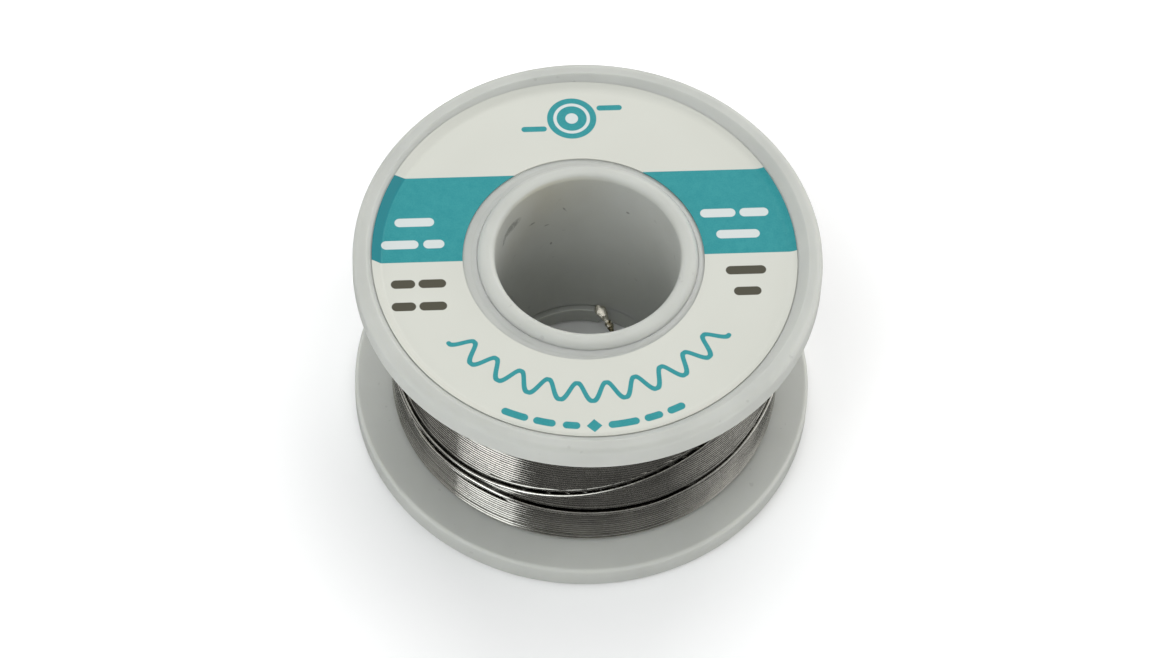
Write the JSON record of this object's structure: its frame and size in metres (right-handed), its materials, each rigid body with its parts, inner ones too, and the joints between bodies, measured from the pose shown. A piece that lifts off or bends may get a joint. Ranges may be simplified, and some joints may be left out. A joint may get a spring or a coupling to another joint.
{
  "type": "solder wire spool",
  "caption": "Small plastic spool of thin solder wire: a hub tube between two round rimmed flanges, close-wound with bright wire, with a round label in the upper flange's recess",
  "frame": {"origin": "centre of the bottom face's plane, on the spool's axis", "axes": "+Z along the spool's axis, from the bottom flange to the labelled top flange; +X to the right as the label reads; -Y towards the reader"},
  "size_m": [0.058, 0.058, 0.032],
  "materials": {
    "hub_plastic": "natural translucent moulded plastic, satin",
    "top_flange_plastic": "natural translucent moulded plastic, satin",
    "bottom_flange_plastic": "natural translucent moulded plastic, satin",
    "label_paper": "printed off-white film label, semi-matte",
    "winding_solder": "bright drawn tin-lead solder wire",
    "tail_solder": "bright drawn tin-lead solder wire, bent"
  },
  "bodies": {
    "root": {"hub_tube": "hub_plastic", "top_flange": "top_flange_plastic", "bottom_flange": "bottom_flange_plastic", "front_label": "label_paper", "wire_winding": "winding_solder", "wire_start_tail": "tail_solder"}
  },
  "joints": []
}
